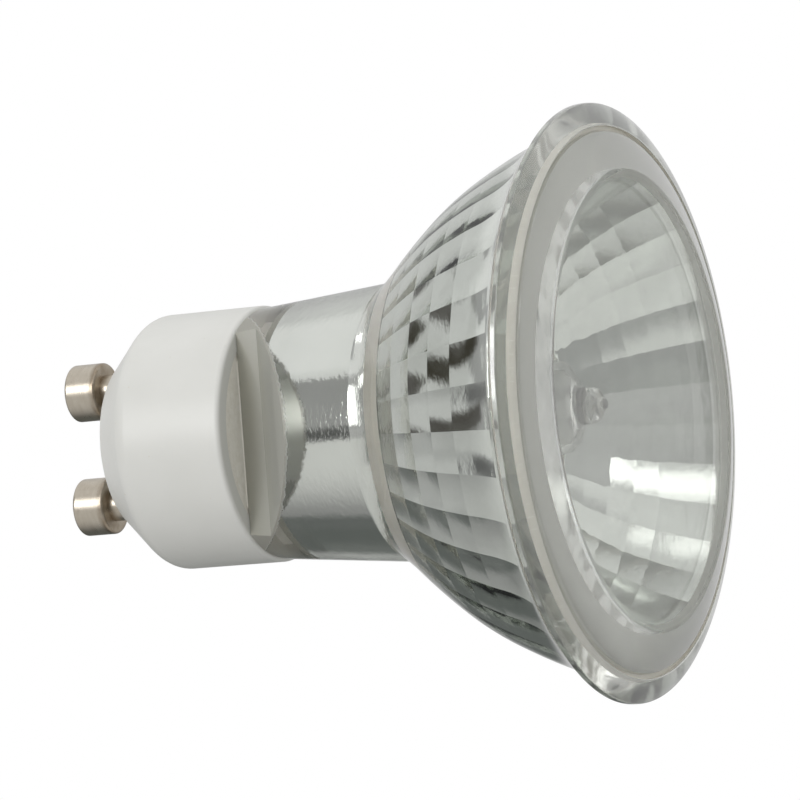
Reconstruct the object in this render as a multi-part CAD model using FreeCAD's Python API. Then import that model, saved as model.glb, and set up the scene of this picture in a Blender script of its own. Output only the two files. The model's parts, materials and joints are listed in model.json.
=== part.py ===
import FreeCAD, Part
import math
import os

os.makedirs("parts", exist_ok=True)

# Mains halogen reflector lamp with a twist-and-lock cap, in millimetres.
# +X is the lamp axis towards the light, and +Z runs from the lower contact pin to the upper one.
# The origin is the centre of the cap's end face, midway between the pins.

# Contact pins, riveted through the cap's floor, with a blind bore for the wire
pin_spacing = 10.0
pin_reach = 6.1
pin_head_d = 5.0
pin_head_len = 3.0
pin_head_edge = 0.25
pin_shank_d = 2.8
pin_tail_d = 2.2
pin_bore_d = 1.2
pin_bore_depth = 4.7
pin_rivet_d = 3.6
pin_rivet_len = 0.5
pin_hole_clearance = 0.05

# Ceramic cap
cap_d = 22.1
cap_len = 13.3
cap_end_d = 15.2
cap_chamfer_len = 3.55
cap_chamfer_round = 1.6
cap_floor = 3.2
cap_wall = 1.45
cap_mouth_round = 0.4

# Reflector's neck, which rests on the mouth of the cap
neck_step = 0.23
neck_flare = 1.11
neck_len = 12.6
neck_wall = 2.55

# Reflector's stem, with a flat on each side that ramps out to the neck
stem_gap = 0.6
stem_len = 5.3
flat_gap = 13.2
flat_run = 1.95
ramp_angle = 48.0
ramp_overrun = 1.0

# Reflector's bowl and rim; the shapes are shares of the run and of the rise or the lip's thickness
rim_d = 50.0
rim_land = 0.5
rim_lip = 0.85
lip_middle = (0.62, 0.45)
lip_edge_round = 0.1
flare_len = 3.5
flare_rise = 2.78
flare_middle = (0.53, 0.41)
bowl_len = 15.45
bowl_wall = 1.9
bowl_shape = [(0.065, 0.068), (0.129, 0.146), (0.259, 0.321), (0.388, 0.483),
              (0.518, 0.630), (0.647, 0.751), (0.777, 0.852), (0.906, 0.942)]

# Mirror facets inside the bowl: sectors round the axis, rings at shares of the bowl's run
facet_sectors = 36
facet_edges = [0.218, 0.346, 0.496, 0.655, 0.821, 0.995]
last_facet_rise = 0.4

# Hollow behind and in front of the facets
throat_step = 0.4
throat_len = 2.2
bore_back_gap = 2.2
bore_chamfer = 1.0
flat_wall = 1.9
mouth_len = 0.7
mouth_step = 0.2
mouth_draft = 0.2
lip_thick = 2.0
lip_depth = 1.3

# Cover glass and the bead that holds it; the shoulder's middle is a share of its rise and of its run
seal_thick = 0.15
seal_width = 0.6
seal_gap = 0.4
seal_rise = 0.9
cover_edge = 1.3
cover_edge_round = 0.3
cover_rise = 1.15
cover_window_d = 37.5
cover_middle = (0.43, 0.39)

# Quartz capsule
capsule_d = 8.4
capsule_wall = 0.9
capsule_len = 14.9
capsule_front_round = 2.4
capsule_back_round = 2.2
tipoff_d = 3.2
tipoff_len = 2.7
tipoff_round = 0.5
nib_d = 1.1
nib_len = 0.7
pinch_inset = 4.4
pinch_len = 11.6
pinch_thick = 3.4
pinch_edge = 0.5
slot_side_gap = 1.2
slot_face_gap = 0.9

# Filament and its leads
gas_inset = 2.0
lead_gap = 3.8
lead_rise = 1.5
inner_lead_d = 0.5
filament_d = 0.9
filament_leg = 6.0
support_d = 0.3
support_root = 3.0
foil_cover = 4.5
foil_len = 6.0
foil_width = 2.2
foil_thick = 0.1
outer_lead_d = 0.7

# Wires inside the cap
joint_gap = 0.4
sleeve_d = 1.5
sleeve_len = 2.4
wire_d = 0.7
fuse_d = 0.4
wire_entry = 1.6
wire_lift = 0.9
wire_end_gap = 0.5
insulation_d = 1.2
insulation_len = 2.2
solder_len = 2.0

# Cements
capsule_cement_under = 2.8
capsule_cement_grip = 3.4
base_cement_back = 0.6
base_cement_recess = 0.1

# Places along the axis and radii that follow from the sizes above
axis_x = FreeCAD.Vector(1, 0, 0)
cap_r = cap_d / 2
cap_bore_r = cap_r - cap_wall
stem_r = cap_bore_r - stem_gap
stem_back_x = cap_len - stem_len
pin_z = pin_spacing / 2
pin_mouth_x = cap_floor + pin_rivet_len
pin_bore_x = pin_mouth_x - pin_bore_depth
lead_z = lead_gap / 2
neck_back_r = cap_r - neck_step
neck_front_r = neck_back_r + neck_flare
neck_front_x = cap_len + neck_len
neck_slope = neck_flare / neck_len
rim_r = rim_d / 2
bowl_front_r = rim_r - flare_rise
bowl_front_x = neck_front_x + bowl_len
rim_back_x = bowl_front_x + flare_len
rim_side_x = rim_back_x + rim_land
rim_front_x = rim_side_x + rim_lip
land_x = rim_front_x - lip_depth
lip_r = rim_r - lip_thick
cover_r = lip_r - seal_gap
cover_back_x = land_x + seal_thick
ramp_x = cap_len + flat_run
ramp_slope = math.tan(math.radians(ramp_angle))
ramp_len = (neck_back_r + neck_slope * flat_run - flat_gap / 2) / (ramp_slope - neck_slope)
bore_back_x = cap_len + bore_back_gap
slot_width = capsule_d + 2 * slot_side_gap
slot_thick = pinch_thick + 2 * slot_face_gap
pinch_back_x = stem_back_x + pinch_inset
capsule_back_x = pinch_back_x + pinch_len
capsule_front_x = capsule_back_x + capsule_len
gas_back_x = capsule_back_x + gas_inset
filament_back_x = gas_back_x + lead_rise
filament_front_x = filament_back_x + filament_leg
foil_front_x = gas_back_x - foil_cover
foil_back_x = foil_front_x - foil_len
joint_x = stem_back_x - joint_gap
wire_bend_x = joint_x - wire_entry
wire_turn_x = pin_mouth_x + wire_lift


def at(x, y, z):
    return FreeCAD.Vector(x, y, z)


def rod(x0, x1, d, z=0.0):
    # Round bar along X, beside the axis by z
    return Part.makeCylinder(d / 2, x1 - x0, at(x0, 0, z), axis_x)


def bar(x0, x1, thick, width):
    # Square bar along X, centred on the axis
    return Part.makeBox(x1 - x0, thick, width, at(x0, -thick / 2, -width / 2))


def turned(edges):
    # Solid turned about X from edges that close round one side of its section
    return Part.Face(Part.Wire(edges)).revolve(at(0, 0, 0), axis_x, 360)


def line(a, b):
    return Part.makeLine(at(a[0], a[1], 0), at(b[0], b[1], 0))


def outline(points):
    # Straight edges round a list of (x, radius) corners
    return [line(a, b) for a, b in zip(points, points[1:] + points[:1])]


def arc(a, m, b):
    return Part.Arc(at(a[0], a[1], 0), at(m[0], m[1], 0), at(b[0], b[1], 0)).toShape()


def circle_edges(shape, x, r):
    # Circular edges of that radius in the plane across the axis at x
    found = []
    for edge in shape.Edges:
        if isinstance(edge.Curve, Part.Circle):
            if abs(edge.Curve.Center.x - x) < 1e-4 and abs(edge.Curve.Radius - r) < 1e-4:
                found.append(edge)
    return found


def rounded(shape, x, r, radius):
    return shape.makeFillet(radius, circle_edges(shape, x, r))


def make_pin(side):
    z = side * pin_z
    head_front_x = pin_head_len - pin_reach
    head = rod(-pin_reach, head_front_x, pin_head_d, z)
    head = rounded(head, -pin_reach, pin_head_d / 2, pin_head_edge)
    head = rounded(head, head_front_x, pin_head_d / 2, pin_head_edge)
    shank = rod(head_front_x, 0, pin_shank_d, z)
    tail = rod(0, cap_floor, pin_tail_d, z)
    rivet = rod(cap_floor, pin_mouth_x, pin_rivet_d, z)
    pin = head.multiFuse([shank, tail, rivet]).removeSplitter()
    return pin.cut(rod(pin_bore_x, pin_mouth_x, pin_bore_d, z))


def make_cap():
    cap = turned(outline([(0, 0), (0, cap_end_d / 2), (cap_chamfer_len, cap_r), (cap_len, cap_r),
                          (cap_len, cap_bore_r), (cap_floor, cap_bore_r), (cap_floor, 0)]))
    cap = rounded(cap, cap_chamfer_len, cap_r, cap_chamfer_round)
    cap = rounded(cap, cap_len, cap_r, cap_mouth_round)
    hole_d = pin_tail_d + 2 * pin_hole_clearance
    for side in (1, -1):
        cap = cap.cut(rod(0, cap_floor, hole_d, side * pin_z))
    return cap


def bowl_curve():
    # Outline of the bowl, from the neck to the start of the rim's flare
    rise = bowl_front_r - neck_front_r
    knots = [at(neck_front_x, neck_front_r, 0)]
    for along, up in bowl_shape:
        knots.append(at(neck_front_x + along * bowl_len, neck_front_r + up * rise, 0))
    knots.append(at(bowl_front_x, bowl_front_r, 0))
    curve = Part.BSplineCurve()
    curve.interpolate(knots)
    return curve


def inside_bowl(curve, share):
    # Point of the mirror that lies one wall inside the outline, at a share of its run
    goal = neck_front_x + share * bowl_len
    low = curve.FirstParameter
    high = curve.LastParameter
    for step in range(50):
        middle = (low + high) / 2
        if curve.value(middle).x < goal:
            low = middle
        else:
            high = middle
    spot = curve.value(low)
    lean = curve.tangent(low)[0]
    return (spot.x + bowl_wall * lean.y, spot.y - bowl_wall * lean.x)


def facet_rings(curve):
    # Rings from the throat to the mouth; the last facet runs on straight under the rim's flare
    rings = [inside_bowl(curve, share) for share in facet_edges]
    x, r = rings[-1]
    mouth_x = land_x - mouth_len
    return rings + [(mouth_x, r + last_facet_rise * (mouth_x - x))]


def reflector_outside(curve):
    neck_front = (neck_front_x, neck_front_r)
    bowl_front = (bowl_front_x, bowl_front_r)
    flare_bend = (bowl_front_x + flare_middle[0] * flare_len, bowl_front_r + flare_middle[1] * flare_rise)
    rim_back = (rim_back_x, rim_r)
    rim_side = (rim_side_x, rim_r)
    lip_bend = (rim_side_x + lip_middle[0] * rim_lip, rim_r - lip_middle[1] * lip_thick)
    lip_top = (rim_front_x, lip_r)
    edges = [line((cap_len, 0), (cap_len, neck_back_r)),
             line((cap_len, neck_back_r), neck_front),
             curve.toShape(),
             arc(bowl_front, flare_bend, rim_back),
             line(rim_back, rim_side),
             arc(rim_side, lip_bend, lip_top),
             line(lip_top, (rim_front_x, 0)),
             line((rim_front_x, 0), (cap_len, 0))]
    return turned(edges)


def facet_core(rings):
    # Stack of polygon rings, whose flat sides press the mirror facets into the glass
    def corners(x, r):
        spots = []
        for k in range(facet_sectors):
            turn = 2 * math.pi * (k + 0.5) / facet_sectors
            spots.append(at(x, -r * math.cos(turn), r * math.sin(turn)))
        return spots
    loops = [corners(x, r) for x, r in rings]
    faces = []
    for near, far in zip(loops, loops[1:]):
        for k in range(facet_sectors):
            n = (k + 1) % facet_sectors
            faces.append(Part.Face(Part.makePolygon([near[k], near[n], far[n], far[k], near[k]])))
    for end in (loops[0], loops[-1]):
        faces.append(Part.Face(Part.makePolygon(end + [end[0]])))
    core = Part.Solid(Part.makeShell(faces))
    if core.Volume < 0:
        core.reverse()
    return core


def neck_radius(x):
    return neck_back_r + neck_slope * (x - cap_len)


def reflector_hollow(rings):
    # Everything that is open inside the glass, from the stem's slot to the seat of the cover
    throat_x, first_r = rings[0]
    mouth_x, last_r = rings[-1]
    bore_front_x = throat_x - throat_len
    bore_side_x = bore_back_x + bore_chamfer
    back_r = neck_radius(bore_side_x) - neck_wall
    bore = turned(outline([(bore_back_x, 0), (bore_back_x, back_r - bore_chamfer), (bore_side_x, back_r),
                           (bore_front_x, neck_radius(bore_front_x) - neck_wall),
                           (throat_x, first_r - throat_step), (throat_x, 0)]))
    for side in (1, -1):
        bore = bore.cut(flat_cutter(side, flat_wall))
    mouth_r = last_r + mouth_step
    mouth = turned(outline([(mouth_x, 0), (mouth_x, mouth_r), (land_x, mouth_r + mouth_draft), (land_x, 0)]))
    seat = rod(land_x, rim_front_x, 2 * lip_r)
    slot = bar(stem_back_x, bore_side_x, slot_thick, slot_width)
    return bore.multiFuse([facet_core(rings), mouth, seat, slot])


def flat_cutter(side, inset):
    # Prism that presses one flat of the stem and its ramp into the neck, or its inner wall an inset further in
    start_x = ramp_x + inset * math.tan(math.radians(ramp_angle / 2))
    end_x = start_x + ramp_len + ramp_overrun
    half = flat_gap / 2 - inset
    top = half + ramp_slope * (end_x - start_x)
    corners = [(cap_len, half), (start_x, half), (end_x, top), (cap_len, top)]
    spots = [at(x, side * y, -cap_d) for x, y in corners]
    return Part.Face(Part.makePolygon(spots + [spots[0]])).extrude(at(0, 0, 2 * cap_d))


def make_reflector():
    curve = bowl_curve()
    body = reflector_outside(curve)
    for side in (1, -1):
        body = body.cut(flat_cutter(side, 0))
    stem = rod(stem_back_x, cap_len, 2 * stem_r).common(bar(stem_back_x, cap_len, flat_gap, cap_d))
    body = body.fuse(stem).removeSplitter()
    body = body.cut(reflector_hollow(facet_rings(curve)))
    return rounded(body, rim_front_x, lip_r, lip_edge_round)


def make_seal():
    top_x = land_x + seal_rise
    inner_r = cover_r - seal_width
    return turned(outline([(land_x, inner_r), (land_x, lip_r), (top_x, lip_r), (top_x, cover_r),
                           (cover_back_x, cover_r), (cover_back_x, inner_r)]))


def make_cover():
    # Pressed disc with a flat back; its front slopes up from a low edge to a flat window
    edge_x = cover_back_x + cover_edge
    front_x = edge_x + cover_rise
    window_r = cover_window_d / 2
    bend = (edge_x + cover_middle[0] * cover_rise, cover_r - cover_middle[1] * (cover_r - window_r))
    edges = [line((cover_back_x, 0), (cover_back_x, cover_r)),
             line((cover_back_x, cover_r), (edge_x, cover_r)),
             arc((edge_x, cover_r), bend, (front_x, window_r)),
             line((front_x, window_r), (front_x, 0)),
             line((front_x, 0), (cover_back_x, 0))]
    return rounded(turned(edges), edge_x, cover_r, cover_edge_round)


def make_capsule(buried):
    # Tube with round shoulders, a sealed tip in front, a flat pinch behind and gas space inside
    tip_x = capsule_front_x + tipoff_len
    tube = rod(capsule_back_x, capsule_front_x, capsule_d)
    tube = rounded(tube, capsule_front_x, capsule_d / 2, capsule_front_round)
    tube = rounded(tube, capsule_back_x, capsule_d / 2, capsule_back_round)
    tip = rounded(rod(capsule_front_x, tip_x, tipoff_d), tip_x, tipoff_d / 2, tipoff_round)
    nib = rod(tip_x, tip_x + nib_len, nib_d)
    pinch = bar(pinch_back_x, gas_back_x, pinch_thick, capsule_d)
    long_edges = [e for e in pinch.Edges if abs(e.tangentAt(e.FirstParameter).x) > 0.9]
    pinch = pinch.makeFillet(pinch_edge, long_edges)
    quartz = tube.multiFuse([tip, nib, pinch]).removeSplitter()
    gas_d = capsule_d - 2 * capsule_wall
    gas_front_x = capsule_front_x - capsule_wall
    gas = rod(gas_back_x, gas_front_x, gas_d)
    gas = rounded(gas, gas_front_x, gas_d / 2, capsule_front_round - capsule_wall)
    gas = rounded(gas, gas_back_x, gas_d / 2, capsule_back_round - capsule_wall)
    quartz = quartz.cut(gas)
    for piece in buried:
        quartz = quartz.cut(piece)
    return quartz


def make_filament():
    # Hairpin of the coil's outer diameter
    top = Part.Arc(at(filament_front_x, 0, lead_z), at(filament_front_x + lead_z, 0, 0),
                   at(filament_front_x, 0, -lead_z))
    path = [Part.makeLine(at(filament_back_x, 0, lead_z), at(filament_front_x, 0, lead_z)),
            top.toShape(),
            Part.makeLine(at(filament_front_x, 0, -lead_z), at(filament_back_x, 0, -lead_z))]
    section = Part.makeCircle(filament_d / 2, at(filament_back_x, 0, lead_z), axis_x)
    return Part.Wire(path).makePipeShell([Part.Wire([section])], True, False)


def make_support(filament):
    return rod(gas_back_x - support_root, filament_front_x + lead_z, support_d).cut(filament)


def make_inner_lead(side):
    return rod(foil_front_x, filament_back_x, inner_lead_d, side * lead_z)


def make_foil(side):
    corner = at(foil_back_x, -foil_thick / 2, side * lead_z - foil_width / 2)
    return Part.makeBox(foil_len, foil_thick, foil_width, corner)


def make_outer_lead(side):
    return rod(joint_x, foil_back_x, outer_lead_d, side * lead_z)


def make_wire(side, d):
    # Wire from the crimp, across to the pin and down its bore
    a = at(wire_bend_x, 0, side * lead_z)
    b = at(wire_turn_x, 0, side * pin_z)
    run = b.sub(a)
    across = Part.makeCylinder(d / 2, run.Length, a, run)
    entry = rod(wire_bend_x, joint_x, d, side * lead_z)
    tail = rod(pin_bore_x + wire_end_gap, wire_turn_x, d, side * pin_z)
    bends = [Part.makeSphere(d / 2, a), Part.makeSphere(d / 2, b)]
    return across.multiFuse([entry, tail] + bends).removeSplitter()


def make_sleeve(side, lead, wire):
    sleeve = rod(joint_x - sleeve_len / 2, joint_x + sleeve_len / 2, sleeve_d, side * lead_z)
    return sleeve.cut(lead).cut(wire)


def make_insulation(side, wire):
    # Sleeve round the middle of the wire's slanting run
    a = at(wire_bend_x, 0, side * lead_z)
    b = at(wire_turn_x, 0, side * pin_z)
    way = b.sub(a).normalize()
    middle = a.add(b).multiply(0.5)
    start = middle.sub(at(way.x, way.y, way.z).multiply(insulation_len / 2))
    return Part.makeCylinder(insulation_d / 2, insulation_len, start, way).cut(wire)


def make_solder(side, wire):
    # Ring of solder that fills the bore's mouth round the wire
    return rod(pin_mouth_x - solder_len, pin_mouth_x, pin_bore_d, side * pin_z).cut(wire)


def make_capsule_cement(buried):
    block = bar(pinch_back_x - capsule_cement_under, pinch_back_x + capsule_cement_grip, slot_thick, slot_width)
    for piece in buried:
        block = block.cut(piece)
    return block


def make_base_cement(reflector):
    fill = rod(stem_back_x + base_cement_back, cap_len - base_cement_recess, 2 * cap_bore_r)
    return fill.cut(reflector).cut(bar(stem_back_x, cap_len, slot_thick, slot_width))


reflector = make_reflector()
filament = make_filament()
support = make_support(filament)
inner_leads = [make_inner_lead(side) for side in (1, -1)]
foils = [make_foil(side) for side in (1, -1)]
outer_leads = [make_outer_lead(side) for side in (1, -1)]
wires = [make_wire(1, wire_d), make_wire(-1, fuse_d)]
capsule = make_capsule([support] + inner_leads + foils + outer_leads)

nodes = {
    "base_cap": make_cap(),
    "contact_pin_upper": make_pin(1),
    "contact_pin_lower": make_pin(-1),
    "reflector": reflector,
    "front_glass": make_cover(),
    "front_glass_seal": make_seal(),
    "base_cement": make_base_cement(reflector),
    "capsule_envelope": capsule,
    "capsule_cement": make_capsule_cement([capsule] + outer_leads + foils),
    "filament": filament,
    "filament_support": support,
    "inner_lead_upper": inner_leads[0],
    "inner_lead_lower": inner_leads[1],
    "foil_upper": foils[0],
    "foil_lower": foils[1],
    "outer_lead_upper": outer_leads[0],
    "outer_lead_lower": outer_leads[1],
    "crimp_sleeve_upper": make_sleeve(1, outer_leads[0], wires[0]),
    "crimp_sleeve_lower": make_sleeve(-1, outer_leads[1], wires[1]),
    "lead_wire_upper": wires[0],
    "fuse_wire_lower": wires[1],
    "insulating_sleeve": make_insulation(-1, wires[1]),
    "pin_solder_upper": make_solder(1, wires[0]),
    "pin_solder_lower": make_solder(-1, wires[1]),
}

for name, shape in nodes.items():
    shape.exportStep("parts/" + name + ".step")
    print(name, len(shape.Solids), "solid", round(shape.Volume, 2), "mm3", shape.isValid())
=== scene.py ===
# %% [markdown]
# Dressing a halogen reflector lamp
# The lamp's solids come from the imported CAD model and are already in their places, in metres.
# This lesson gives them their looks: pressed glass over a mirror, a steatite cap, nickel pins
# and a quartz capsule with a coiled filament.
# +X is the lamp's axis towards the light, and +Z runs from the lower pin to the upper one.

# %% Load the CAD model
import json
import math

import bpy
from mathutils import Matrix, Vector


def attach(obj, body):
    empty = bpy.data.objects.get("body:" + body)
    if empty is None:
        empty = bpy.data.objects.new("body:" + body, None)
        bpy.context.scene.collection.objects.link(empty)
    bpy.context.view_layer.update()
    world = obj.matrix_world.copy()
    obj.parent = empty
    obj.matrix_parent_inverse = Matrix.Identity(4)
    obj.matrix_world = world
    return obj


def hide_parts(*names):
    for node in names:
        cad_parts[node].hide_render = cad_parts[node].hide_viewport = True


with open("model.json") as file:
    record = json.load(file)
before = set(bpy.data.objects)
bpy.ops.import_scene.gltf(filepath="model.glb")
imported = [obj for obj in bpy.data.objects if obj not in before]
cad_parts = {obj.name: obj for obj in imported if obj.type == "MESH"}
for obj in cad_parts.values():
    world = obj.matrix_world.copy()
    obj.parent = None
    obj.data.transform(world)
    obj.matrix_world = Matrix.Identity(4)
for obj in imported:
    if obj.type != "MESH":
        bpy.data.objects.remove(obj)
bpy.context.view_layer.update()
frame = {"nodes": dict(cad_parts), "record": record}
scene = bpy.context.scene
mm = 0.001

# %% [markdown]
# The camera
# The photograph was taken with a long lens from the lamp's side, a little below its axis,
# so the round parts look nearly flat.
# A camera can be framed by eye, but here its place was worked out from the known pin spacing and rim,
# so every piece falls on its own pixels.

# %% Camera
# Millimetres and degrees in the lamp's frame
camera_at = (192.588, -353.406, -11.698)
camera_turns = (91.9956, 4.3074, 25.5099)
sensor_width, lens = 36.0, 207.5
camera = bpy.data.objects.new("photo_camera", bpy.data.cameras.new("photo_camera"))
scene.collection.objects.link(camera)
camera.location = Vector(camera_at) * mm
camera.rotation_euler = [math.radians(turn) for turn in camera_turns]
camera.data.sensor_width = sensor_width
camera.data.lens = lens
camera.data.clip_start, camera.data.clip_end = 0.01, 20.0
scene.camera = camera
print("camera", [round(v / mm) for v in camera.location], "mm, lens", lens)

# %% [markdown]
# Colours and nodes
# Colours are written as the hex values that a paint program shows, and Blender wants linear light,
# so one function turns the one into the other.
# A node can be added in one line if its settings and its sockets are given together,
# and one small function does that for every kind.

# %% Helpers for materials
def linear(hex_colour):
    shares = [int(hex_colour[i:i + 2], 16) / 255 for i in (1, 3, 5)]
    return [s / 12.92 if s <= 0.04045 else ((s + 0.055) / 1.055) ** 2.4 for s in shares] + [1.0]


def add(tree, kind, sockets, **settings):
    # One node with its settings; a socket takes a value or the output that feeds it
    made = tree.nodes.new("ShaderNode" + kind)
    for name, value in settings.items():
        setattr(made, name, value)
    for socket, value in sockets.items():
        if isinstance(value, bpy.types.NodeSocket):
            tree.links.new(value, made.inputs[socket])
        else:
            made.inputs[socket].default_value = value
    return made


def finish(name, shader_sockets):
    # A new material with its Principled shader and the place of each point on the lamp
    material = bpy.data.materials.new(name)
    material.use_nodes = True
    tree = material.node_tree
    tree.nodes.clear()
    shader = add(tree, "BsdfPrincipled", shader_sockets)
    add(tree, "OutputMaterial", {"Surface": shader.outputs["BSDF"]})
    place = add(tree, "TexCoord", {}).outputs["Object"]
    return material, tree, shader, place


def mottle(tree, place, sizes_mm, detail=3.0):
    # Soft noise whose spots have the given sizes along X, Y and Z
    scales = [1 / (size * mm) for size in sizes_mm]
    spread = add(tree, "Mapping", {"Vector": place, "Scale": scales}).outputs["Vector"]
    return add(tree, "TexNoise", {"Vector": spread, "Scale": 1.0, "Detail": detail}).outputs["Fac"]


def between(tree, share, low, high):
    # A mask that is nought up to the low value and one from the high value on
    return add(tree, "MapRange", {"Value": share, "From Min": low, "From Max": high}).outputs["Result"]


def blend(tree, mask, first, second):
    # Colour that goes from one to the other with the mask; the first may be the output of another blend
    start = linear(first) if isinstance(first, str) else first
    return add(tree, "Mix", {0: mask, 6: start, 7: linear(second)}, data_type="RGBA").outputs[2]


def tint(tree, shader, mask, first, second):
    tree.links.new(blend(tree, mask, first, second), shader.inputs["Base Color"])


def vary(tree, shader, mask, low, high, socket="Roughness"):
    # Roughness, or another socket, that goes from one value to the other with the mask
    ranged = add(tree, "MapRange", {"Value": mask, "To Min": low, "To Max": high}).outputs["Result"]
    tree.links.new(ranged, shader.inputs[socket])


def relief(tree, shader, height, depth_mm):
    # Bump as deep as given, from a height between nought and one
    bump = add(tree, "Bump", {"Height": height, "Strength": 1.0, "Distance": depth_mm * mm}).outputs["Normal"]
    tree.links.new(bump, shader.inputs["Normal"])


print("white is", linear("#ffffff"))

# %% [markdown]
# The studio
# A mirror shows the room, so the room matters more than the lamps in it.
# Here it is a pale floor, grey walls under a bright ceiling, a white wall on the right, a dark beam
# on the left and soft boxes beside the camera.
# It could be built from cards and area lamps, but a sky painted by direction is softer and has no noise.

# %% Floor
floor_drop, floor_r, floor_x = 100 * mm, 1000 * mm, 20 * mm
bpy.ops.object.select_all(action="DESELECT")
bpy.ops.mesh.primitive_circle_add(vertices=96, radius=floor_r, fill_type="NGON",
                                  location=(floor_x, 0, -floor_drop))
floor = bpy.context.object
floor.name = "floor"
floor.visible_glossy = floor.visible_transmission = floor.visible_diffuse = False
paper, tree, shader, place = finish("pale_paper", {"Base Color": linear("#f4f4f2"), "Roughness": 0.9})
floor.data.materials.append(paper)
print("floor", round(floor_drop / mm), "mm below the axis")

# %% Sky of the studio
scene.world = bpy.data.worlds.new("studio")
scene.world.use_nodes = True
tree = scene.world.node_tree
tree.nodes.clear()
look = add(tree, "TexCoord", {}).outputs["Generated"]
parts = add(tree, "SeparateXYZ", {"Vector": look}).outputs
rise = add(tree, "Math", {0: parts["Z"]}, operation="ARCSINE").outputs[0]
ahead = add(tree, "Math", {0: parts["Y"], 1: -1.0}, operation="MULTIPLY").outputs[0]
swing = add(tree, "Math", {0: parts["X"], 1: ahead}, operation="ARCTAN2").outputs[0]
height = between(tree, rise, -math.pi / 2, math.pi / 2)
walls = add(tree, "ValToRGB", {"Fac": height})
# Height in degrees and grey, from the floor below to the ceiling above
greys = [(-90, 0.52), (-62, 0.34), (-45, 0.28), (-34, 0.38), (-22, 0.45),
         (-8, 0.50), (-2, 0.64), (36, 0.70), (46, 0.92), (90, 0.86)]
while len(walls.color_ramp.elements) < len(greys):
    walls.color_ramp.elements.new(0.5)
for stop, (angle, grey) in zip(walls.color_ramp.elements, greys):
    stop.position = (angle + 90) / 180
    stop.color = (grey, grey, grey, 1)
print("walls and ceiling in", len(greys), "greys")

# %% [markdown]
# Cards and lamps on the sky
# A studio hangs cards and soft boxes round a shiny object, and the mirror shows each of them.
# They could be lit planes, but a soft-edged patch of the sky needs no mesh and casts no hard shadow.
# Bearing 0 looks along -Y, out from the lamp's near side, and bearings grow towards its front.

# %% Cards and soft boxes
def card(sky, across, up, soft, colour, slant=0.0):
    # Lays a card over the sky between two bearings and two heights, with soft edges, all in degrees;
    # a slant tips it, by so many degrees of height for each degree of bearing
    middle = (across[0] + across[1]) / 2
    lean = add(tree, "Math", {0: swing, 1: -slant, 2: slant * math.radians(middle)},
               operation="MULTIPLY_ADD").outputs[0]
    level = add(tree, "Math", {0: rise, 1: lean}, operation="ADD").outputs[0]
    masks = []
    for angle, (low, high), edge in ((swing, across, soft[0]), (level, up, soft[1])):
        centre, reach = math.radians((low + high) / 2), math.radians((high - low) / 2)
        away = add(tree, "Math", {0: angle, 1: centre}, operation="SUBTRACT").outputs[0]
        away = add(tree, "Math", {0: away}, operation="ABSOLUTE").outputs[0]
        fade = {"Value": away, "From Min": reach - math.radians(edge), "From Max": reach,
                "To Min": 1.0, "To Max": 0.0}
        masks.append(add(tree, "MapRange", fade, interpolation_type="SMOOTHSTEP").outputs["Result"])
    both = add(tree, "Math", {0: masks[0], 1: masks[1]}, operation="MULTIPLY").outputs[0]
    return add(tree, "Mix", {0: both, 6: sky, 7: (*colour, 1)}, data_type="RGBA").outputs[2]


sky = walls.outputs["Color"]
sky = card(sky, (-176, -98), (-70, -6), (16, 10), (0.14, 0.15, 0.145))      # dark floor at the back
sky = card(sky, (-100, 64), (-125, -10), (64, 4), (0.73, 0.73, 0.72))       # lit floor in front
sky = card(sky, (8, 160), (-92, -33), (12, 3), (0.78, 0.78, 0.77))          # and on the right
sky = card(sky, (18, 88), (-35, 4), (8, 6), (0.25, 0.26, 0.25))             # shadow on it
sky = card(sky, (-32, 95), (-8, 47), (6, 6), (0.46, 0.46, 0.46))            # room behind the camera
sky = card(sky, (68, 164), (-28, 62), (20, 12), (0.92, 0.92, 0.91))         # white wall on the right
sky = card(sky, (-60, 20), (56, 86), (8, 8), (0.45, 0.45, 0.45))            # ceiling over the camera
sky = card(sky, (-70, -31), (-12, 41), (5, 3), (0.36, 0.36, 0.36))          # dim wall on the left
sky = card(sky, (-70, -31), (-13, 2), (5, 6), (0.12, 0.12, 0.12))           # and its foot
sky = card(sky, (-102, -50), (4, 20), (6, 5), (0.055, 0.050, 0.040), slant=-0.35)   # dark beam
sky = card(sky, (-24, 14), (-2, 36), (3, 3), (1.8, 1.8, 1.8))               # soft box beside the camera
sky = card(sky, (-31, -10), (2, 30), (3, 3), (8.5, 8.5, 8.5))               # and its lamp
sky = card(sky, (18, 52), (29, 42), (4, 3), (2.6, 2.6, 2.6))                # its wing
sky = card(sky, (48, 82), (66, 82), (5, 4), (2.6, 2.6, 2.6))                # soft box on the ceiling
seen = add(tree, "LightPath", {}).outputs["Is Camera Ray"]
sky = add(tree, "Mix", {0: seen, 6: sky, 7: (1, 1, 1, 1)}, data_type="RGBA").outputs[2]
glow = add(tree, "Background", {"Color": sky, "Strength": 1.0}).outputs["Background"]
add(tree, "OutputWorld", {"Surface": glow})
scene.view_settings.view_transform = "Standard"
scene.cycles.max_bounces = 28
scene.cycles.glossy_bounces = 14
scene.cycles.transmission_bounces = 24
print("studio painted with", len(tree.nodes), "nodes")

# %% [markdown]
# Pressed glass and its silvering
# The reflector is one piece of pressed borosilicate glass. Its inner face is silvered,
# so from behind one looks through clear glass at the back of a mirror.
# The same could be faked with a shiny shell, but then the facets would lie on the surface
# instead of a wall's thickness below it.
# A pressed mirror isn't quite smooth: a fine grain of about half a millimetre frays what it shows.

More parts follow.
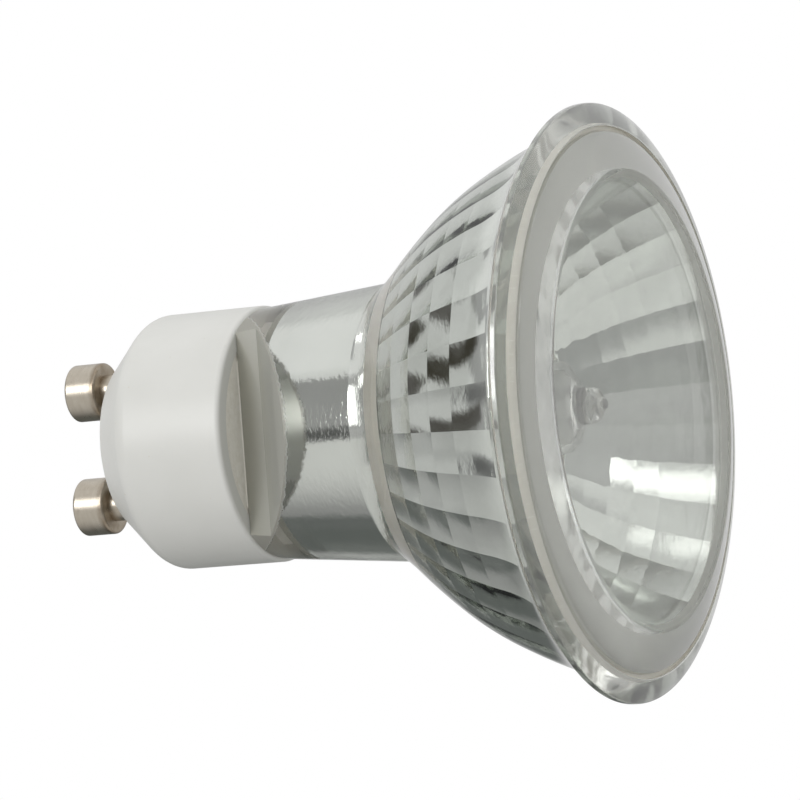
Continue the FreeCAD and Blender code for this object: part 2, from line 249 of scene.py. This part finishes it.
# %% Glass and mirror
# Borosilicate glass, pressed: clear and faintly grey, with the low waves that the cold mould leaves;
# a smear of cement, frayed at its edge, has crept over the side of each ramp
flat_y, flat_x, ramp_angle = 6.6, 15.25, 48.0
creep, fray = 0.3, 0.7
steep = math.tan(math.radians(ramp_angle))
pressed_glass, tree, shader, place = finish("pressed_borosilicate_glass", {"IOR": 1.47})
spot = add(tree, "SeparateXYZ", {"Vector": place}).outputs
side = add(tree, "Math", {0: spot["Y"]}, operation="ABSOLUTE").outputs[0]
lower = add(tree, "Math", {0: spot["X"], 1: -steep, 2: ((flat_x + creep) * steep - flat_y) * mm},
            operation="MULTIPLY_ADD").outputs[0]
past = add(tree, "Math", {0: side, 1: lower}, operation="ADD").outputs[0]
frayed = add(tree, "Math", {0: mottle(tree, place, (0.5, 0.4, 0.4)), 1: fray * mm, 2: past},
             operation="MULTIPLY_ADD").outputs[0]
smeared = between(tree, frayed, 0.25 * mm, 0.5 * mm)
tint(tree, shader, smeared, "#f7f8f6", "#b4b3ab")
vary(tree, shader, smeared, 0.0, 0.6)
vary(tree, shader, smeared, 1.0, 0.4, "Transmission Weight")
relief(tree, shader, mottle(tree, place, (3.0, 3.5, 3.5), 2.0), 0.004)


def silver(name, light, dark, grain_mm, depth_mm, smooth, dull):
    # Vapour-coated aluminium: a grey mirror, bright where it lies on the glass and duller on its bare side
    material, tree, shader, place = finish(name, {"Metallic": 1.0})
    tint(tree, shader, mottle(tree, place, (4.0, 4.0, 4.0)), light, dark)
    bare_side = add(tree, "NewGeometry", {}).outputs["Backfacing"]
    vary(tree, shader, bare_side, dull, smooth)
    relief(tree, shader, mottle(tree, place, grain_mm, 2.0), depth_mm)
    return material


facet_silver = silver("aluminised_facets", "#e6e9e5", "#d3d6d1", (0.5, 0.7, 0.7), 0.006, 0.05, 0.13)
bore_silver = silver("aluminised_bore", "#e4e6e2", "#d8dad6", (0.3, 0.6, 0.6), 0.010, 0.05, 0.13)

# Cement that has wetted the glass: cream and mottled, under the gloss of the glass
cement_skin, tree, shader, place = finish("cement_wetted_glass", {
    "Roughness": 0.55, "Coat Weight": 0.7, "Coat Roughness": 0.06})
tint(tree, shader, mottle(tree, place, (1.1, 2.8, 2.8), 4.0), "#fbf9f4", "#e6e2d8")

# Throat that the silver left bare: hazy glass with a warm tint
bare_throat, tree, shader, place = finish("hazy_throat_glass", {
    "Roughness": 0.45, "IOR": 1.47, "Transmission Weight": 0.1})
tint(tree, shader, mottle(tree, place, (0.8, 2.0, 2.0)), "#fbf8f0", "#e4decf")

# Rim left as pressed: satin, a little milky, with faint flow lines round it
satin_rim, tree, shader, place = finish("satin_rim_glass", {
    "IOR": 1.47, "Transmission Weight": 0.78, "Coat Weight": 1.0, "Coat Roughness": 0.03})
tint(tree, shader, mottle(tree, place, (0.6, 8.0, 8.0)), "#fafbf6", "#e9ebe3")
vary(tree, shader, mottle(tree, place, (0.8, 6.0, 6.0)), 0.06, 0.2)

# Flats and ramps: glass streaked with cement, its colour darker and beige towards the cap as painted shade,
# and pale up the ramp
streaked_ramp, tree, shader, place = finish("cement_streaked_glass_painted_shade", {
    "IOR": 1.47, "Transmission Weight": 0.35, "Coat Weight": 1.0, "Coat Roughness": 0.05})
along = add(tree, "SeparateXYZ", {"Vector": place}).outputs["X"]
streaks = mottle(tree, place, (1.2, 1.2, 9.0), 1.0)
# Painted shade: a ragged mask along X that darkens the colour towards the cap
painted_cap_shade = add(tree, "Math", {0: streaks, 1: 1.6 * mm, 2: along}, operation="MULTIPLY_ADD").outputs[0]
tint(tree, shader, between(tree, painted_cap_shade, 14.4 * mm, 17.6 * mm), "#acab9f", "#bfc0b9")
vary(tree, shader, streaks, 0.7, 0.85)
glass_coats = [pressed_glass, facet_silver, cement_skin, bore_silver, bare_throat, satin_rim, streaked_ramp]
clear, faceted, skin, bored, hazy, satin, streaked = range(len(glass_coats))
print("made", [coat.name for coat in glass_coats])

# %% [markdown]
# The reflector's outline
# On the real lamp a plunger presses the bowl: smooth outside, with 36 columns of small pillow-shaped
# mirrors inside.
# The outline is the CAD model's: a straight neck, a smooth bowl through a few points, a flare
# and a rounded lip.
# The points could be typed in one by one, but cubics through a few of them keep the curve smooth.

# %% Outline of the bowl
cap_mouth_x = 13.3
neck_back, neck_front = (cap_mouth_x, 10.82), (25.9, 11.93)
bowl_front, flare_middle, rim_back = (41.35, 22.22), (43.205, 23.36), (44.85, 25.0)
bowl_shape = [(0.0, 0.0), (0.065, 0.068), (0.129, 0.146), (0.259, 0.321), (0.388, 0.483),
              (0.518, 0.630), (0.647, 0.751), (0.777, 0.852), (0.906, 0.942), (1.0, 1.0)]
bowl_len, bowl_rise = bowl_front[0] - neck_front[0], bowl_front[1] - neck_front[1]
bowl_wall = 1.9


def bowl_at(share):
    # Point and direction of the bowl's outside at a share of its length, on cubics through its points
    k = max(i for i in range(len(bowl_shape) - 1) if bowl_shape[i][0] <= share)
    steps = [(b[1] - a[1]) / (b[0] - a[0]) for a, b in zip(bowl_shape, bowl_shape[1:])]
    leans = [steps[0]] + [(a + b) / 2 for a, b in zip(steps, steps[1:])] + [steps[-1]]
    (x0, y0), (x1, y1) = bowl_shape[k], bowl_shape[k + 1]
    span = x1 - x0
    t = (share - x0) / span
    up = (y0 * (1 + 2 * t) * (1 - t) ** 2 + leans[k] * span * t * (1 - t) ** 2
          + y1 * t * t * (3 - 2 * t) - leans[k + 1] * span * t * t * (1 - t))
    lean = (6 * t * (1 - t) * (y1 - y0) / span + leans[k] * (1 - t) * (1 - 3 * t)
            + leans[k + 1] * t * (3 * t - 2))
    point = (neck_front[0] + share * bowl_len, neck_front[1] + up * bowl_rise)
    way = Vector((bowl_len, lean * bowl_rise)).normalized()
    return point, way


def mirror_at(share):
    # The mirror lies one wall inside the outline
    (x, r), way = bowl_at(share)
    return (x + bowl_wall * way.y, r - bowl_wall * way.x)


def bow(start, middle, end, parts):
    # Points of a gentle curve through three places
    spots = []
    for k in range(1, parts + 1):
        t = k / parts
        weights = ((1 - t) * (1 - 2 * t), 4 * t * (1 - t), t * (2 * t - 1))
        spots.append(tuple(sum(w * p[i] for w, p in zip(weights, (start, middle, end))) for i in (0, 1)))
    return spots


def corner(x, r, radius, first, last, parts):
    # Points of a rounded corner, from one angle to the other
    turns = [math.radians(first + (last - first) * k / parts) for k in range(parts + 1)]
    return [(x + radius * math.cos(turn), r + radius * math.sin(turn)) for turn in turns]


print("bowl", round(bowl_len, 2), "mm long and", round(bowl_rise, 2), "mm high")

# %% [markdown]
# Extruding it ring by ring
# A profile could be spun round the axis, but rings that are extruded one after another
# can also be shaped column by column, so the pillows come out of the same skin.

# %% Rings of the reflector
def only(piece):
    # Makes the piece the active one, with nothing else selected
    bpy.ops.object.select_all(action="DESELECT")
    piece.select_set(True)
    bpy.context.view_layer.objects.active = piece


def close_up():
    # Fills the open ends of the active piece and turns all its faces outward
    bpy.ops.object.mode_set(mode="EDIT")
    bpy.ops.mesh.select_mode(type="EDGE")
    bpy.ops.mesh.select_all(action="SELECT")
    bpy.ops.mesh.fill_holes(sides=0)
    bpy.ops.mesh.normals_make_consistent(inside=False)
    bpy.ops.object.mode_set(mode="OBJECT")


def ringed(name, rings, sides):
    # A closed piece about the lamp's axis: a circle extruded from ring to ring, with both ends filled
    bpy.ops.object.select_all(action="DESELECT")
    now = rings[0]
    bpy.ops.mesh.primitive_circle_add(vertices=sides, radius=now[1] * mm, location=(now[0] * mm, 0, 0),
                                      rotation=(0, math.pi / 2, 0))
    piece = bpy.context.object
    piece.name = name
    bpy.ops.object.transform_apply(location=True, rotation=True, scale=True)
    bpy.ops.object.mode_set(mode="EDIT")
    bpy.ops.mesh.select_mode(type="EDGE")
    bpy.ops.mesh.select_all(action="SELECT")
    for x, r in rings[1:]:
        bpy.ops.mesh.extrude_region_move(TRANSFORM_OT_translate={"value": ((x - now[0]) * mm, 0, 0)})
        bpy.ops.transform.resize(value=(1, r / now[1], r / now[1]), center_override=(x * mm, 0, 0))
        now = (x, r)
    close_up()
    return piece


columns, splits = 36, 8
per_ring = columns * splits
stem_back, stem_r = 8.0, 9.0
stem = [(stem_back, stem_r), (cap_mouth_x, stem_r)]
neck = [neck_back, (17.5, 11.19), (21.7, 11.56), neck_front]
bowl = [bowl_at(k / 24)[0] for k in range(1, 25)]
flare = bow(bowl_front, flare_middle, rim_back, 10)
lip_top = (46.2, 23.1)
rim = corner(45.15, 24.75, 0.25, 90, 30, 4)
lip = bow(rim[-1], (45.85, 24.1), lip_top, 8) + corner(46.1, 23.1, 0.1, 0, -90, 4)[1:]
land = [(44.9, 23.0)] + corner(44.75, 21.85, 0.15, 0, -90, 5)
mouth_x, mouth_rise = 44.2, 0.4
mouth = [(mouth_x, 21.5)]
facet_edges = [0.995, 0.821, 0.655, 0.496, 0.346, 0.218]
facets = [mirror_at(share) for share in facet_edges]
facets.insert(0, (mouth_x, facets[0][1] + mouth_rise * (mouth_x - facets[0][0])))
throat_x, throat_r = facets[-1]
throat = [(throat_x - 0.07, throat_r - 0.2), (throat_x - 0.13, throat_r - 0.4), (28.4, 9.8)]
outside = stem + neck + bowl + flare + rim + lip
first_rim, first_land = len(outside) - len(rim + lip) - 1, len(outside)
first_mouth = first_land + 1
first_facet = len(outside + land + mouth)
last_facet = first_facet + len(facets) - 1
reflector = ringed("reflector_glass", outside + land + mouth + facets + throat, per_ring)
print("reflector", len(reflector.data.polygons), "faces, facets on rings", first_facet, "to", last_facet)

# %% [markdown]
# Columns of pillows
# Each facet is a small pillow: curved across its column and straight along it, so it spreads the beam
# sideways. A bump in the material would shade much like that, but the mesh itself would stay flat.
# Every line of points between two columns' edges is drawn in a little towards the axis.

# %% Pillows
def pick(piece, wanted, kind="VERT"):
    # Selects the points, or the faces, that the test wants, and stays in edit mode
    bpy.ops.object.mode_set(mode="EDIT")
    bpy.ops.mesh.select_mode(type=kind)
    bpy.ops.mesh.select_all(action="DESELECT")
    bpy.ops.object.mode_set(mode="OBJECT")
    items = piece.data.polygons if kind == "FACE" else piece.data.vertices
    for item in items:
        item.select = wanted(item)
    picked = sum(item.select for item in items)
    bpy.ops.object.mode_set(mode="EDIT")
    return picked


half_turn = 180 / columns
pillow, pillow_r = 0.042, 16.0
for step in range(1, splits):
    across = 2 * step / splits - 1
    flat = math.cos(math.radians(half_turn)) / math.cos(math.radians(half_turn * across))
    shrink = flat - pillow / pillow_r * (1 - across ** 2)

    def on_column(point):
        ring = point.index // per_ring
        turn = math.degrees(math.atan2(point.co.z, -point.co.y)) + half_turn
        return first_facet <= ring <= last_facet and abs((turn / (2 * half_turn)) % 1 - step / splits) < 0.01

    picked = pick(reflector, on_column)
    bpy.ops.transform.resize(value=(1, shrink, shrink), center_override=(0, 0, 0))
    bpy.ops.object.mode_set(mode="OBJECT")
print("each of", splits - 1, "lines in a column moved", picked, "points")

# %% [markdown]
# Where the silver lies
# On the real lamp aluminium vapour coats the facets and the bore, and the rim and the throat stay bare.
# The border could be painted by hand, but each face's ring number already tells where it lies.

# %% Silvered faces
for coat in glass_coats:
    reflector.data.materials.append(coat)
for face in reflector.data.polygons:
    rings_of_face = [i // per_ring for i in face.vertices]
    low, high = min(rings_of_face), max(rings_of_face)
    if low >= first_mouth and high <= last_facet + 2:
        face.material_index = faceted
    elif low > last_facet or (low >= first_land - 1 and high <= first_mouth):
        face.material_index = hazy
    elif low >= first_rim and high < first_land:
        face.material_index = satin
print("silvered", sum(face.material_index == faceted for face in reflector.data.polygons), "faces")

# %% [markdown]
# Flats, bore and slot
# The plunger also leaves a silvered bore in the neck, and the mould a flat with a ramp on each side of it,
# where the lamp is gripped while the cap is cemented on.
# The stem behind the cap's mouth is wetted by cement all over.
# Boolean cutters with their own materials press these in, so each new wall takes its finish from its cutter.

# %% Cutters
def coated(piece, coat):
    for other in glass_coats:
        piece.data.materials.append(other)
    for face in piece.data.polygons:
        face.material_index = coat
    return piece


def cut_away(piece, cutter):
    only(piece)
    bpy.ops.object.modifier_add(type="BOOLEAN")
    piece.modifiers[-1].object = cutter
    piece.modifiers[-1].operation = "DIFFERENCE"
    bpy.ops.object.modifier_apply(modifier=piece.modifiers[-1].name)
    bpy.data.objects.remove(cutter)


def block(low, high):
    bpy.ops.object.select_all(action="DESELECT")
    middle = [(a + b) / 2 * mm for a, b in zip(low, high)]
    lengths = [(b - a) * mm for a, b in zip(low, high)]
    bpy.ops.mesh.primitive_cube_add(size=1.0, location=middle, scale=lengths)
    bpy.ops.object.transform_apply(location=True, rotation=True, scale=True)
    return bpy.context.object


ramp_run, flat_wall = 5.3, 0.9
cut_back, cut_side, cut_end = 7.0, 20.0, 15.0


def flat_prism(side, inset):
    # Wedge that presses one flat and its ramp, moved in by the inset for the wall's inner face
    start = flat_x + inset * math.tan(math.radians(ramp_angle / 2))
    cutter = block((cut_back, flat_y - inset, -cut_end), (start, cut_side, cut_end))
    pick(cutter, lambda point: point.co.x > (start - 0.1) * mm)
    bpy.ops.mesh.extrude_region_move(TRANSFORM_OT_translate={"value": (ramp_run * mm, 0, 0)})
    bpy.ops.object.mode_set(mode="OBJECT")
    pick(cutter, lambda point: point.co.x > (start + 1) * mm and point.co.y < 10 * mm)
    bpy.ops.transform.translate(value=(0, ramp_run * steep * mm, 0))
    bpy.ops.object.mode_set(mode="OBJECT")
    if side < 0:
        cutter.rotation_euler.x = math.pi
        only(cutter)
        bpy.ops.object.transform_apply(rotation=True)
    return cutter


print("flats", 2 * flat_y, "mm apart")

# %% Cuts
bore_rings = [(28.7, 9.6), (28.3, 9.59), (24.0, 9.213), (19.8, 8.842), (16.5, 8.552), (15.5, 7.552)]
slot_front, slot_y, slot_z = 16.0, 2.62, 5.42
seam, seam_reach = 0.02, 12.0
bore = coated(ringed("bore", bore_rings, per_ring), bored)
for side in (1, -1):
    cut_away(bore, flat_prism(side, flat_wall))
for face in bore.data.polygons:
    if abs(face.normal.x) > 0.9 or abs(abs(face.center.y) - (flat_y - flat_wall) * mm) < 0.01 * mm:
        face.material_index = skin
for side in (1, -1):
    cut_away(reflector, flat_prism(side, 0.0))
cut_away(reflector, bore)
slot = block((cut_back, -slot_y, -slot_z), (slot_front, slot_y, slot_z))
cut_away(reflector, coated(slot, skin))
# A cut as thin as a hair parts the cemented stem from the clear neck, so no light runs from one to the other
parting = block((cap_mouth_x - seam, -seam_reach, -seam_reach), (cap_mouth_x + seam, seam_reach, seam_reach))
cut_away(reflector, coated(parting, skin))
for face in reflector.data.polygons:
    on_ramp = abs(face.normal.z) < 0.01 and abs(face.normal.x + math.sin(math.radians(ramp_angle))) < 0.01
    on_flat = abs(face.normal.y) > 0.99 and abs(abs(face.center.y) - flat_y * mm) < 0.01 * mm
    if face.center.x < cap_mouth_x * mm:
        face.material_index = skin
    elif (on_ramp or on_flat) and face.material_index == clear:
        face.material_index = streaked
print("reflector after the cuts", len(reflector.data.polygons), "faces")

# %% [markdown]
# Crisp facets in a smooth bowl
# The small mirrors meet in crisp lines, while the glass outside is smooth.
# One angle for the whole piece would blur the one or break up the other, so the facets' edges
# are marked as sharp first, with all other faces hidden.

# %% Sharp edges between the facets
crease, smooth = 2.2, 24
only(reflector)
pick(reflector, lambda face: face.material_index == faceted, "FACE")
bpy.ops.mesh.hide(unselected=True)
bpy.ops.mesh.select_mode(type="EDGE")
bpy.ops.mesh.select_all(action="DESELECT")
bpy.ops.mesh.edges_select_sharp(sharpness=math.radians(crease))
bpy.ops.mesh.mark_sharp()
bpy.ops.mesh.reveal()
bpy.ops.object.mode_set(mode="OBJECT")
print("sharp edges", sum(edge.use_edge_sharp for edge in reflector.data.edges))
bpy.ops.object.shade_smooth_by_angle(angle=math.radians(smooth), keep_sharp_edges=True)
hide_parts("reflector")
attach(reflector, "root")

# %% [markdown]
# The cover glass
# The front is closed by a pressed disc. It has a flat back, and its front slopes up from a rounded edge
# to a flat window inside a low ridge.
# It could stay the CAD solid, but a ring that is extruded step by step gives the soft, fire-polished edges
# that catch the light.

# %% Cover glass
# Soda-lime glass, pressed: clear, a trace of green, with the mould's slow waves
cover_glass, tree, shader, place = finish("pressed_soda_lime_glass", {
    "Base Color": linear("#f8f9f7"), "Roughness": 0.0, "IOR": 1.5, "Transmission Weight": 1.0})
relief(tree, shader, mottle(tree, place, (3.0, 4.0, 4.0), 2.0), 0.018)
# Silicone that the cover was bedded in, smeared over the edge of its back: beige and hazy
smeared_glass, tree, shader, place = finish("silicone_smeared_glass", {
    "Roughness": 0.5, "IOR": 1.47, "Transmission Weight": 0.6})
tint(tree, shader, mottle(tree, place, (1.0, 3.0, 3.0)), "#f9f9f2", "#edeee5")
cover_back, cover_r, shoulder_x, smear_r = 45.07, 22.58, 46.05, 18.9
shoulder = corner(shoulder_x, cover_r - 0.3, 0.3, 90, 30, 5)
slope = bow(shoulder[-1], (46.86, 21.1), (47.42, 19.3), 10)
ridge = [(47.48, 19.1), (47.5, 18.95), (47.48, 18.8), (47.42, 18.65), (47.4, 18.4)]
back = [(cover_back, smear_r), (cover_back, cover_r - 0.1), (cover_back + 0.1, cover_r)]
cover = ringed("cover_lens", back + shoulder + slope + ridge, 192)
cover_coats = [cover_glass, smeared_glass, satin_rim]
window, smeared_back, satin_slope = range(len(cover_coats))
for coat in cover_coats:
    cover.data.materials.append(coat)
for face in cover.data.polygons:
    out = face.center.yz.length / mm
    if face.normal.x < -0.9 and out > smear_r:
        face.material_index = smeared_back
    elif face.normal.x > -0.1 and out > slope[-1][1]:
        face.material_index = satin_slope
bpy.ops.object.shade_smooth_by_angle(angle=math.radians(smooth))
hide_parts("front_glass")
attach(cover, "root")
clear_faces = sum(face.material_index == window for face in cover.data.polygons)
print("cover glass", len(cover.data.polygons), "faces,", clear_faces, "of them clear")

# %% [markdown]
# The quartz capsule
# The burner is blown and pinched from quartz tube: a round body, a drawn-out tip where it was filled
# and sealed, and a flat pinch behind that holds the foils.
# Quartz is worked at white heat, so nothing on it is quite true.
# A spun profile would be too true, so the same rings make it: the pinch is pressed flat in two steps,
# the skin is stirred a little, and a second body cuts the gas space.

# %% Capsule
# Fused quartz: clear and colourless, rippled by the burner's flame
quartz, tree, shader, place = finish("fused_quartz", {
    "Base Color": linear("#fdfdfb"), "Roughness": 0.05, "IOR": 1.46, "Transmission Weight": 0.88})
relief(tree, shader, mottle(tree, place, (0.9, 1.3, 1.3), 2.0), 0.05)
tip = [(42.3, 0.15), (42.15, 0.42), (41.9, 0.55), (41.65, 0.62), (41.55, 1.0), (41.3, 1.42), (40.9, 1.58),
       (39.5, 1.62), (39.1, 1.72)]
dome = [(38.89, 2.0), (38.72, 2.72), (38.2, 3.5), (37.42, 4.02)]
capsule_r = 4.2
body = [(x, capsule_r) for x in (36.5, 33.0, 29.5, 26.2)]
pinch = [(x, capsule_r) for x in (25.0, 24.0, 20.0, 16.0, 12.4)]
capsule = ringed("quartz_capsule", tip + dome + body + pinch, 48)
for x, thick in ((25.5, 0.75), (24.5, 0.54)):
    pick(capsule, lambda point: point.co.x < x * mm)
    bpy.ops.transform.resize(value=(1, thick, 1), center_override=(0, 0, 0))
    bpy.ops.object.mode_set(mode="OBJECT")
pick(capsule, lambda point: 26.5 * mm < point.co.x < 42.2 * mm)
bpy.ops.transform.vertex_random(offset=0.06 * mm, uniform=0.0, normal=0.0, seed=4)
bpy.ops.mesh.vertices_smooth(factor=0.5, repeat=1)
bpy.ops.object.mode_set(mode="OBJECT")
gas = ringed("gas", [(38.0, 1.8), (37.5, 2.9), (36.6, 3.3), (27.2, 3.3), (26.3, 2.9), (26.0, 2.0)], 48)
cut_away(capsule, gas)
capsule.data.materials.append(quartz)
bpy.ops.object.shade_smooth_by_angle(angle=math.radians(50))
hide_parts("capsule_envelope")
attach(capsule, "root")
print("capsule", len(capsule.data.polygons), "faces")

# %% [markdown]
# The filament
# A mains filament is a fine tungsten wire wound into a coil and bent into a hairpin.
# Ninety turns could be modelled one by one. A Screw modifier winds them from one small circle,
# and a Curve modifier then lays the straight coil along the hairpin.

# %% Filament
# Tungsten wire: dark grey, drawn through dies, with fine lines along its length
tungsten, tree, shader, place = finish("drawn_tungsten", {"Metallic": 1.0})
tint(tree, shader, mottle(tree, place, (0.4, 0.4, 0.4)), "#9b9894", "#77746f")
vary(tree, shader, mottle(tree, place, (0.2, 0.2, 0.2)), 0.3, 0.5)
coil_r, wire_r, pitch, turns = 0.37, 0.07, 0.2, 90
leg_back, leg_front, leg_z = 27.5, 33.5, 1.9
# Length of the handles that make a quarter circle
handle = leg_z * 4 / 3 * (math.sqrt(2) - 1)
bpy.ops.object.select_all(action="DESELECT")
bpy.ops.curve.primitive_bezier_curve_add()
hairpin = bpy.context.object
spline = hairpin.data.splines[0]
spline.bezier_points.add(3)
stops = [((leg_back, leg_z), (1, 0), 1.0), ((leg_front, leg_z), (1, 0), handle),
         ((leg_front + leg_z, 0), (0, -1), handle),
         ((leg_front, -leg_z), (-1, 0), handle), ((leg_back, -leg_z), (-1, 0), 1.0)]
for knot, ((x, z), way, reach) in zip(spline.bezier_points, stops):
    spot, step = Vector((x, 0, z)) * mm, Vector((way[0], 0, way[1])) * reach * mm
    knot.handle_left_type = knot.handle_right_type = "FREE"
    knot.co, knot.handle_left, knot.handle_right = spot, spot - step, spot + step
hairpin.data.resolution_u = 32
bpy.ops.object.select_all(action="DESELECT")
bpy.ops.mesh.primitive_circle_add(vertices=6, radius=wire_r * mm, location=(0, coil_r * mm, 0))
filament = bpy.context.object
filament.name = "filament_coil"
bpy.ops.object.transform_apply(location=True, rotation=True, scale=True)
bpy.ops.object.modifier_add(type="SCREW")
screw = filament.modifiers[-1]
screw.axis, screw.iterations, screw.screw_offset = "X", turns, pitch * mm
screw.steps = screw.render_steps = 10
bpy.ops.object.modifier_apply(modifier=screw.name)
bpy.ops.object.modifier_add(type="CURVE")
filament.modifiers[-1].object = hairpin
bpy.ops.object.modifier_apply(modifier=filament.modifiers[-1].name)
bpy.data.objects.remove(hairpin)
close_up()
filament.data.materials.clear()
filament.data.materials.append(tungsten)
bpy.ops.object.shade_smooth_by_angle(angle=math.radians(60))
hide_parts("filament")
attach(filament, "root")
corners = [Vector(c) / mm for c in filament.bound_box]
print("filament", len(filament.data.polygons), "faces, X", round(min(c.x for c in corners), 2), "to",
      round(max(c.x for c in corners), 2))

# %% [markdown]
# Cap and pins
# The cap is steatite, a dense ceramic that is pressed dry, fired and left with a thin glaze,
# so it is white with a soft sheen.
# The pins are turned from brass and nickel-plated. A lathe leaves fine rings, and heat browns the plating
# at the head's edge.
# They could be modelled again here, but their CAD solids are right as they are. So they keep their meshes
# and get patterns on the lamp's own coordinates.

# %% Steatite and nickel
# Steatite under a thin glaze: warm white, faintly cloudy, with a few dark specks and scuffs
steatite, tree, shader, place = finish("glazed_steatite", {"Coat Weight": 0.25, "Coat Roughness": 0.25})
cloud = mottle(tree, place, (7.0, 5.0, 5.0))
specks = between(tree, mottle(tree, place, (0.35, 0.35, 0.35), 1.0), 0.79, 0.83)
white = blend(tree, cloud, "#dededa", "#d2d2cd")
tint(tree, shader, specks, white, "#cfccc2")
scuffs = mottle(tree, place, (2.5, 0.5, 0.5))
vary(tree, shader, scuffs, 0.34, 0.55)
relief(tree, shader, mottle(tree, place, (0.25, 0.25, 0.25), 2.0), 0.006)

# Nickel plate over turned brass: warm grey, ringed by the tool, browned along the head's back edge
head_edge_x = -3.25
nickel, tree, shader, place = finish("nickel_plated_brass", {"Metallic": 1.0})
along = add(tree, "SeparateXYZ", {"Vector": place}).outputs["X"]
patches = mottle(tree, place, (0.5, 1.2, 1.2))
away = add(tree, "Math", {0: along, 1: -head_edge_x * mm}, operation="ADD").outputs[0]
away = add(tree, "Math", {0: away}, operation="ABSOLUTE").outputs[0]
heated = add(tree, "MapRange", {"Value": away, "From Min": 0.1 * mm, "From Max": 0.5 * mm,
                                "To Min": 1.0, "To Max": 0.0}).outputs["Result"]
browned = add(tree, "Math", {0: heated, 1: patches}, operation="MULTIPLY").outputs[0]
plate = blend(tree, patches, "#cfc8bb", "#b3a99a")
tint(tree, shader, browned, plate, "#6d5638")
vary(tree, shader, mottle(tree, place, (0.12, 0.8, 0.8)), 0.2, 0.42)
relief(tree, shader, mottle(tree, place, (0.10, 6.0, 6.0), 1.0), 0.006)
print("made", steatite.name, "and", nickel.name)

# %% [markdown]
# The small pieces
# Cement, sealing bead, wires and sleeves show only in part, but each has its own make-up.
# A flat colour would do from afar. Grain, streaks and a changing gloss keep them from looking like plastic.

# %% Cement, silicone, wires, solder and fibre
# Lamp cement: cream, chalky, sandy to the touch
cement, tree, shader, place = finish("lamp_cement", {"Roughness": 0.95})
tint(tree, shader, mottle(tree, place, (0.6, 0.6, 0.6), 4.0), "#f6f4ee", "#dcd7ca")
relief(tree, shader, mottle(tree, place, (0.3, 0.3, 0.3)), 0.04)

# Silicone bead: clear with a milky cast, smeared by hand
silicone, tree, shader, place = finish("clear_silicone", {"IOR": 1.41, "Transmission Weight": 0.15})
tint(tree, shader, mottle(tree, place, (1.0, 2.0, 2.0)), "#f8f6ee", "#e3dfd2")
vary(tree, shader, mottle(tree, place, (0.8, 1.5, 1.5)), 0.25, 0.45)
relief(tree, shader, mottle(tree, place, (0.7, 0.9, 0.9)), 0.05)

# Nickel wire: grey, drawn, with lines along it
wire, tree, shader, place = finish("drawn_nickel_wire", {"Metallic": 1.0})
tint(tree, shader, mottle(tree, place, (1.5, 0.1, 0.1)), "#bdb9b1", "#9d9890")
vary(tree, shader, mottle(tree, place, (1.5, 0.1, 0.1)), 0.25, 0.45)

# Tin solder: pale grey, set in dull grains
solder, tree, shader, place = finish("tin_solder", {"Metallic": 1.0})
tint(tree, shader, mottle(tree, place, (0.3, 0.3, 0.3)), "#cfd0d0", "#acadac")
vary(tree, shader, mottle(tree, place, (0.2, 0.2, 0.2)), 0.3, 0.55)

# Braided glass fibre: off-white, matt, with threads about a fifth of a millimetre apart
fibre, tree, shader, place = finish("braided_glass_fibre", {"Roughness": 0.9})
threads = mottle(tree, place, (0.2, 0.2, 0.2), 1.0)
tint(tree, shader, threads, "#ece8db", "#cbc5b3")
relief(tree, shader, threads, 0.05)

# Each CAD node takes the material of its slot
coats = {"cap": steatite, "pin": nickel, "seal": silicone, "cement": cement, "tungsten": tungsten,
         "wire": wire, "solder": solder, "insulation": fibre, "quartz": quartz, "cover": cover_glass}
for part in frame["record"]["subparts"]:
    if part["material_slot"] in coats:
        frame["nodes"][part["node"]].material_slots[0].material = coats[part["material_slot"]]
print("coated", len(coats), "slots")

# %% [markdown]
# Finishing
# The view layer is brought up to date once more at the end.

# %% Finish
bpy.context.view_layer.update()
